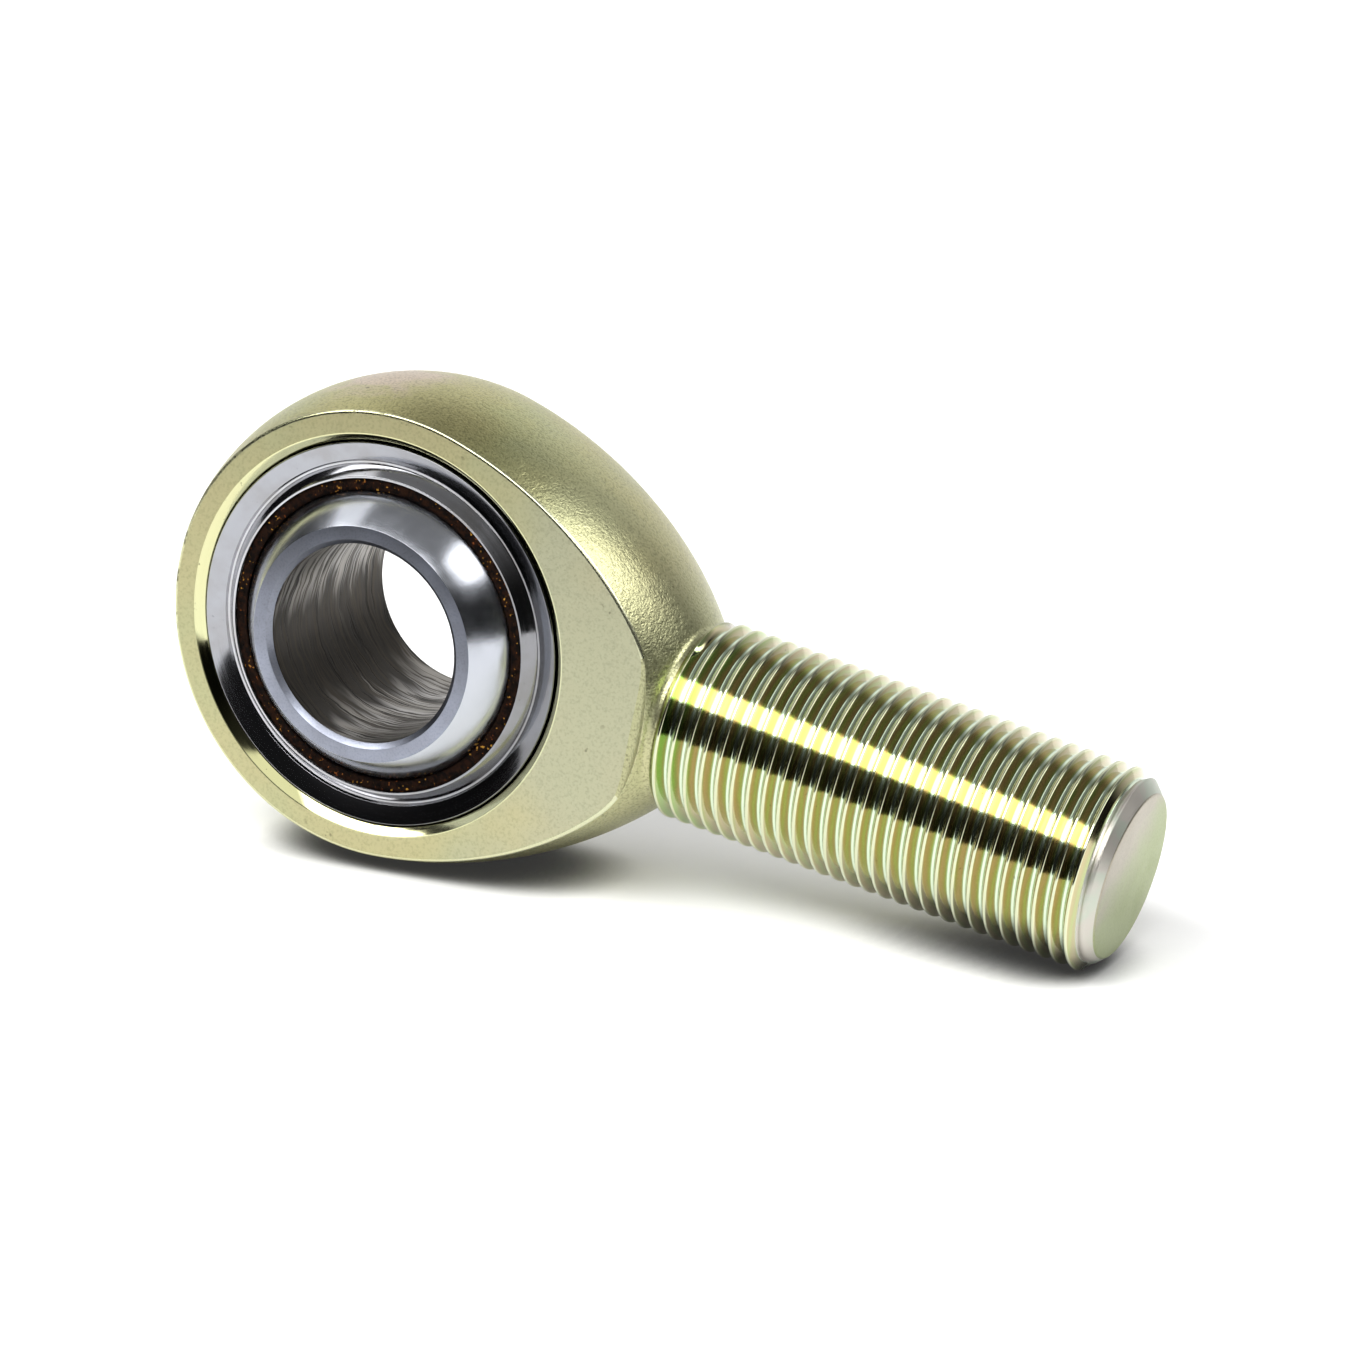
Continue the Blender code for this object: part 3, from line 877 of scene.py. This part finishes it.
def build_fray():
    """Loose thread ends standing in the gap at both ends of the liner."""
    draw = np.random.default_rng(11)
    verts, faces = [], []
    for side in (-1, 1):
        for _ in range(FRAY_COUNT):
            angle = draw.uniform(0, TURN)
            reach = draw.uniform(LINER_INNER + 0.14 * MM, LINER_OUTER - 0.10 * MM)
            y = draw.uniform(LINER_HALF - 0.25 * MM, LINER_HALF + 0.02 * MM)
            radius = on_sphere(reach, y)
            size = draw.uniform(0.03, 0.085) * MM
            long_by = draw.uniform(1.0, 2.6)
            spin = draw.uniform(0, math.pi)
            out = Vector((math.cos(angle), 0, math.sin(angle)))
            round_by = Vector((-math.sin(angle), 0, math.cos(angle)))
            lie = out * math.cos(spin) + round_by * math.sin(spin)
            other = out * -math.sin(spin) + round_by * math.cos(spin)
            up = Vector((0, 1, 0))
            centre = out * radius + up * (side * y)
            first = len(verts)
            tips = ((long_by, 0, 0), (-long_by, 0, 0), (0, 1, 0), (0, -1, 0), (0, 0, 1), (0, 0, -1))
            for a, b, c in tips:
                verts.append(centre + (lie * a * 0.6 + other * b + up * c) * size)
            for f in OCTAHEDRON:
                faces.append(tuple(first + i for i in f))
    return welded(mesh_object("liner_fray", verts, faces, [LINER]), 1e-9)


def build_ball():
    """The ball, cut by its two faces, with a chamfered bore."""
    edge = on_sphere(BALL_RADIUS, BALL_HALF)
    sphere = [(on_sphere(BALL_RADIUS, y), y) for y in BALL_HALF * np.sin(np.linspace(0, math.pi / 2, 30))]
    sphere = sphere[:-1]
    chamfer = BORE_CHAMFER
    face = softened([
        sphere[-1], (edge, BALL_HALF), (BORE_RADIUS + chamfer, BALL_HALF),
        (BORE_RADIUS, BALL_HALF - chamfer), (BORE_RADIUS, BALL_HALF - 2 * chamfer),
    ], (0, 0.07 * MM, 0.07 * MM, 0.06 * MM, 0), 4, False)
    bore = [(BORE_RADIUS, y) for y in np.linspace(BALL_HALF - 2 * chamfer, 0, 16)[1:-1]]
    half = sphere[1:] + face[1:] + bore
    profile = mirrored(half)
    marks = []
    on_sphere_part, on_face, in_bore = range(3)
    for i, (r, y) in enumerate(profile):
        after = profile[(i + 1) % len(profile)]
        farthest = max(abs(y), abs(after[1]))
        if farthest < BALL_HALF - 0.6 * chamfer and r < BORE_RADIUS + 0.3 * MM:
            marks.append(in_bore)
        elif (min(r, after[0]) < edge - 0.01 * MM and r < edge + 0.01 * MM
              and farthest > BALL_HALF - 1.2 * chamfer):
            marks.append(on_face)
        else:
            marks.append(on_sphere_part)
    made = lathe("ball_fine", profile, BALL_STEPS, [CHROME, FACE, BORE], marks)
    weigh = made.modifiers.new("weighted_normals", "WEIGHTED_NORMAL")
    weigh.mode = "FACE_AREA"
    return made


for piece, body, slot, nodes in (
    (build_head(), "housing", "zinc_chromate", ["rod_end_body"]),
    (build_shank(), "housing", "zinc_chromate", ["rod_end_body"]),
    (build_race(), "housing", "race_steel", ["outer_race"]),
    (build_liner(), "liner", "liner_fabric", ["ptfe_liner"]),
    (build_fray(), "liner", "liner_fabric", ["ptfe_liner"]),
    (build_ball(), "ball", "ball_chrome", ["ball"]),
):
    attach(piece, body)
    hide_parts(*nodes)


# ---------------------------------------------------------------- floor, light and camera
FLOOR_UP = Vector((-math.sin(FLOOR_TILT), 0, math.cos(FLOOR_TILT)))
FLOOR_ALONG = Vector((math.cos(FLOOR_TILT), 0, math.sin(FLOOR_TILT)))
floor_middle = -FLOOR_UP * (HEAD_RADIUS + 0.02 * MM)
FLOOR_LEFT, FLOOR_RIGHT = -1.2, 0.33
FLOOR_FRONT, FLOOR_BACK = -0.17, 2.0
corners = [floor_middle + FLOOR_ALONG * x + Vector((0, y, 0))
           for x, y in ((FLOOR_LEFT, FLOOR_FRONT), (FLOOR_RIGHT, FLOOR_FRONT),
                        (FLOOR_RIGHT, FLOOR_BACK), (FLOOR_LEFT, FLOOR_BACK))]
floor = mesh_object("studio_floor", corners, [(0, 1, 2, 3)], [floor_white("studio_floor")])


def towards(azimuth, elevation):
    """Azimuth 0 is the front and 90 the shank's side; elevation is above the floor."""
    a, e = math.radians(azimuth), math.radians(elevation)
    level = FLOOR_ALONG * math.sin(a) + Vector((0, -math.cos(a), 0))
    return level * math.cos(e) + FLOOR_UP * math.sin(e)


# azimuth, elevation, half width, half height, softness of the edge, strength
LIGHT_CARDS = (
    (-16, 50, 38, 13.0, 0.06, 6.0),
    (96, 47, 23, 11, 0.35, 4.6),
    (-102, 54, 20, 10, 0.30, 1.1),
    (147, 26, 16, 11, 0.60, -0.30),
)
ROOM_LIGHT = 0.46


def build_world():
    """A white studio: pale walls behind, a dark room behind the camera, and large soft boxes."""
    world = bpy.data.worlds.new("studio")
    bpy.context.scene.world = world
    world.use_nodes = True
    tree = world.node_tree
    tree.nodes.clear()
    way = node(tree, "TexCoord").outputs["Generated"]
    height = dot(tree, way, FLOOR_UP)

    def card(azimuth, elevation, half_wide, half_high, soft, strength):
        """A soft-edged rectangle of light, of the given half angles in degrees."""
        middle = towards(azimuth, elevation)
        aside = FLOOR_UP.cross(middle).normalized()
        above = middle.cross(aside)
        depth = maths(tree, "MAXIMUM", dot(tree, way, middle), 0.001)
        shares = []
        for axis, half in ((aside, half_wide), (above, half_high)):
            reach = math.tan(math.radians(half))
            across = maths(tree, "ABSOLUTE", maths(tree, "DIVIDE", dot(tree, way, axis), depth))
            shares.append(ramp(tree, across, reach * (1 - soft), reach * (1 + soft), 1.0, 0.0))
        share = maths(tree, "MULTIPLY", shares[0], shares[1])
        return maths(tree, "MULTIPLY", share, strength)

    wall = ramp(tree, dot(tree, way, towards(-163, 0)), 0.30, 0.90)
    total = maths(tree, "MULTIPLY", wall, ramp(tree, height, 0.52, 0.86, 0.98, 0.0))
    total = maths(tree, "ADD", total, ramp(tree, height, 0.25, 0.9, 0.015, 0.25))
    for given in LIGHT_CARDS:
        total = maths(tree, "ADD", total, card(*given))
    total = maths(tree, "MAXIMUM", total, 0.0)
    total = mixed_value(tree, node(tree, "LightPath").outputs["Is Diffuse Ray"], total, ROOM_LIGHT)
    shade = grey(tree, total)
    seen = node(tree, "LightPath").outputs["Is Camera Ray"]
    colour = mixed(tree, seen, shade, rgb(1.0, 1.0, 1.0))
    light = node(tree, "Background", {"Color": colour, "Strength": 1.0})
    node(tree, "OutputWorld", {"Surface": light.outputs[0]})


build_world()

LAMP_REACH = 0.8

# the soft boxes as lamps that only the floor and the liner see: they shape the shadow
for name, card, wide, high, energy in (
    ("front_box", LIGHT_CARDS[0], 1.1, 0.30, 4.2),
    ("side_box", LIGHT_CARDS[1], 0.6, 0.30, 1.0),
):
    lamp_data = bpy.data.lights.new(name, "AREA")
    lamp_data.shape = "RECTANGLE"
    lamp_data.size = wide
    lamp_data.size_y = high
    lamp_data.energy = energy
    lamp = bpy.data.objects.new(name, lamp_data)
    bpy.context.scene.collection.objects.link(lamp)
    box_way = towards(card[0], card[1])
    lamp.location = box_way * LAMP_REACH
    lamp.rotation_mode = "QUATERNION"
    lamp.rotation_quaternion = box_way.to_track_quat("Z", "Y")
    lamp.visible_glossy = False
    lamp.visible_camera = False

CAMERA_PLACE = Vector((197.25, -425.66, 183.38)) * MM
CAMERA_AIM = Vector((26.79, 0.0, 3.25)) * MM
CAMERA_ROLL = math.radians(0.99)
CAMERA_SENSOR = 36.0
CAMERA_LENS = 142.7
camera_data = bpy.data.cameras.new("camera")
camera_data.sensor_width = CAMERA_SENSOR
camera_data.lens = CAMERA_LENS
camera_data.clip_start = 0.01
camera_data.clip_end = 20.0
camera = bpy.data.objects.new("camera", camera_data)
bpy.context.scene.collection.objects.link(camera)
look = (CAMERA_AIM - CAMERA_PLACE).normalized()
level_right = look.cross(FLOOR_UP).normalized()
level_up = level_right.cross(look)
right_axis = level_right * math.cos(CAMERA_ROLL) + level_up * math.sin(CAMERA_ROLL)
up_axis = right_axis.cross(look)
rotation = np.column_stack([right_axis, up_axis, -look])
camera.rotation_mode = "QUATERNION"
camera.rotation_quaternion = Matrix(rotation.tolist()).to_quaternion()
camera.location = CAMERA_PLACE
bpy.context.scene.camera = camera
bpy.context.scene.view_settings.view_transform = "Standard"
